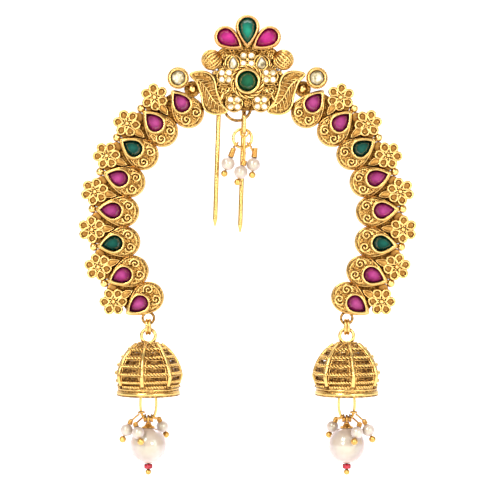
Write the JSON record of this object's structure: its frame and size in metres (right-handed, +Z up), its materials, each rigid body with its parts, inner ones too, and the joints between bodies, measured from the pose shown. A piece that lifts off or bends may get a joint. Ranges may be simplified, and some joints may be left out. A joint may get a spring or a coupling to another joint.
{
  "type": "hair bun brooch",
  "caption": "Gold horseshoe hair brooch with ruby and emerald pear stones, wire flowers and a leaf crest on a two-pronged fork, with a pierced bell and pearl drop hung from each end",
  "frame": {"origin": "on the flat back plane of the arch, on its middle line, at the height where the hair fork is rooted", "axes": "+X to the right as seen from the front, front faces -Y, +Z up, drops hang towards -Z"},
  "size_m": [0.074, 0.0143, 0.1008],
  "materials": {
    "gold": "antique gold, dark in the recesses",
    "pale_gold": "bright",
    "ruby": "polished, foiled behind",
    "emerald": "polished, foiled behind",
    "white_stone": "polished",
    "pearl": "pearly lustre",
    "red_bead": "polished"
  },
  "bodies": {
    "brooch": {"arch_frame": "gold", "hair_fork": "pale_gold", "centre_emerald": "emerald", "crown_emerald": "emerald", "crown_ruby_left": "ruby", "crown_ruby_right": "ruby", "white_round_left": "white_stone", "white_round_right": "white_stone", "hood_white_left": "white_stone", "hood_white_right": "white_stone", "crest_chip_stones": "white_stone", "left_arm_stone_1": "ruby", "left_arm_stone_2": "ruby", "left_arm_stone_3": "emerald", "left_arm_stone_4": "ruby", "left_arm_stone_5": "ruby", "left_arm_stone_6": "emerald", "left_arm_stone_7": "ruby", "left_arm_stone_8": "ruby", "right_arm_stone_1": "ruby", "right_arm_stone_2": "ruby", "right_arm_stone_3": "emerald", "right_arm_stone_4": "ruby", "right_arm_stone_5": "ruby", "right_arm_stone_6": "emerald", "right_arm_stone_7": "ruby", "right_arm_stone_8": "ruby", "centre_bail": "gold", "centre_ring": "gold", "centre_pins": "gold", "centre_pearl_left": "pearl", "centre_pearl_middle": "pearl", "centre_pearl_right": "pearl"},
    "left_ear_link": {"left_link": "gold"},
    "left_bell_drop": {"left_bell": "gold"},
    "left_pendant": {"left_pendant_ring": "gold", "left_pendant_pin": "gold", "left_pearl_cap": "gold", "left_pearl": "pearl", "left_red_bead": "red_bead", "left_small_pearl_outer": "pearl", "left_small_pearl_front": "pearl", "left_small_pearl_inner": "pearl", "left_small_pins": "gold"},
    "right_ear_link": {"right_link": "gold"},
    "right_bell_drop": {"right_bell": "gold"},
    "right_pendant": {"right_pendant_ring": "gold", "right_pendant_pin": "gold", "right_pearl_cap": "gold", "right_pearl": "pearl", "right_red_bead": "red_bead", "right_small_pearl_outer": "pearl", "right_small_pearl_front": "pearl", "right_small_pearl_inner": "pearl", "right_small_pins": "gold"}
  },
  "joints": [
    {"name": "left_link_hinge", "type": "hinge", "parent": "brooch", "child": "left_ear_link", "pos_m": [-0.02181, -0.0009, -0.04935], "axis": [1, 0, 0], "range_deg": [-30, 30]},
    {"name": "left_bell_hinge", "type": "hinge", "parent": "left_ear_link", "child": "left_bell_drop", "pos_m": [-0.02181, -0.0009, -0.05153], "axis": [0, 1, 0], "range_deg": [-25, 25]},
    {"name": "left_pendant_hinge", "type": "hinge", "parent": "left_bell_drop", "child": "left_pendant", "pos_m": [-0.02181, -0.0009, -0.06432], "axis": [0, 1, 0], "range_deg": [-15, 15]},
    {"name": "right_link_hinge", "type": "hinge", "parent": "brooch", "child": "right_ear_link", "pos_m": [0.02181, -0.0009, -0.04935], "axis": [1, 0, 0], "range_deg": [-30, 30]},
    {"name": "right_bell_hinge", "type": "hinge", "parent": "right_ear_link", "child": "right_bell_drop", "pos_m": [0.02181, -0.0009, -0.05153], "axis": [0, 1, 0], "range_deg": [-25, 25]},
    {"name": "right_pendant_hinge", "type": "hinge", "parent": "right_bell_drop", "child": "right_pendant", "pos_m": [0.02181, -0.0009, -0.06432], "axis": [0, 1, 0], "range_deg": [-15, 15]}
  ]
}
